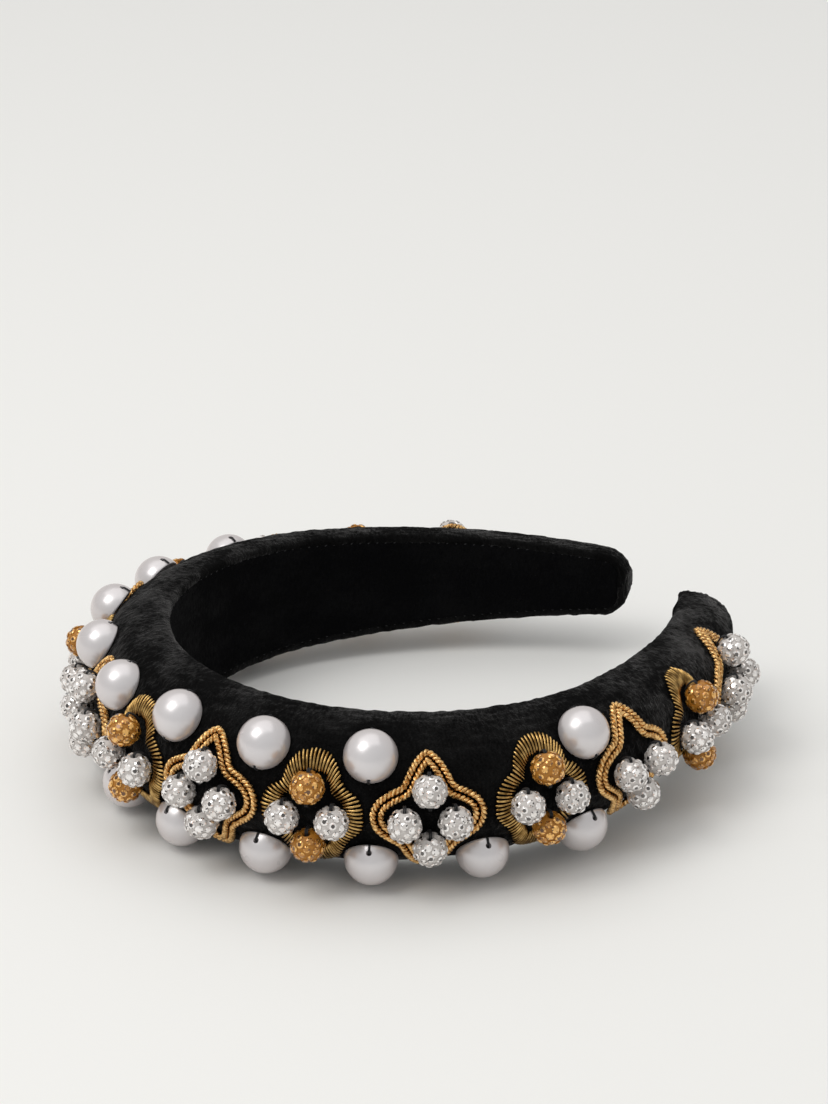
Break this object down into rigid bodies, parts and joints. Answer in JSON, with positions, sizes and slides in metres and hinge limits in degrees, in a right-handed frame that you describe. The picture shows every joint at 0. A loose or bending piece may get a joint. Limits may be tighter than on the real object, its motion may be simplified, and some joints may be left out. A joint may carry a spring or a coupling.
{
  "type": "padded headband",
  "caption": "Padded black velvet headband with sewn half-round pearls, paved ball beads, gold cord and purl motifs.",
  "frame": {"origin": "centre of the round part that grips the head, at half the band's width", "axes": "+Z across the band; +Y from the open end towards the crown; X across the head, +X towards the left leg"},
  "size_m": [0.1847, 0.1928, 0.0453],
  "materials": {
    "hoop": "moulded springy plastic, satin",
    "foam": "open-cell foam",
    "velvet": "crushed black velvet, short pile with a soft sheen",
    "lining_velvet": "black velvet, matt",
    "thread": "black polyester sewing thread",
    "pearl": "coated imitation pearl, white with a lilac lustre",
    "gold_cord": "twisted metallic cord, antique gold",
    "purl": "coiled wire purl, dull antique gold",
    "crystal_pave": "clear cut stones set in pale clay",
    "amber_pave": "topaz cut stones set in mustard clay"
  },
  "bodies": {
    "root": {"hoop": "hoop", "foam_pad": "foam", "outer_cover": "velvet", "inner_lining": "lining_velvet", "seam_thread": "thread", "pearl_thread": "thread", "bead_thread": "thread", "purl_crown": "purl", "crystals_crown": "crystal_pave", "amber_crown": "amber_pave", "pearls_left_1": "pearl", "pearls_left_2": "pearl", "pearls_left_3": "pearl", "pearls_left_4": "pearl", "pearls_left_5": "pearl", "cord_left_1": "gold_cord", "cord_left_3": "gold_cord", "cord_left_5": "gold_cord", "cord_left_7": "gold_cord", "crystals_left_1": "crystal_pave", "crystals_left_3": "crystal_pave", "crystals_left_5": "crystal_pave", "crystals_left_7": "crystal_pave", "purl_left_2": "purl", "purl_left_4": "purl", "purl_left_6": "purl", "crystals_left_2": "crystal_pave", "crystals_left_4": "crystal_pave", "crystals_left_6": "crystal_pave", "amber_left_2": "amber_pave", "amber_left_4": "amber_pave", "amber_left_6": "amber_pave", "pearls_right_1": "pearl", "pearls_right_2": "pearl", "pearls_right_3": "pearl", "pearls_right_4": "pearl", "pearls_right_5": "pearl", "cord_right_1": "gold_cord", "cord_right_3": "gold_cord", "cord_right_5": "gold_cord", "cord_right_7": "gold_cord", "crystals_right_1": "crystal_pave", "crystals_right_3": "crystal_pave", "crystals_right_5": "crystal_pave", "crystals_right_7": "crystal_pave", "purl_right_2": "purl", "purl_right_4": "purl", "purl_right_6": "purl", "crystals_right_2": "crystal_pave", "crystals_right_4": "crystal_pave", "crystals_right_6": "crystal_pave", "amber_right_2": "amber_pave", "amber_right_4": "amber_pave", "amber_right_6": "amber_pave"}
  },
  "joints": []
}
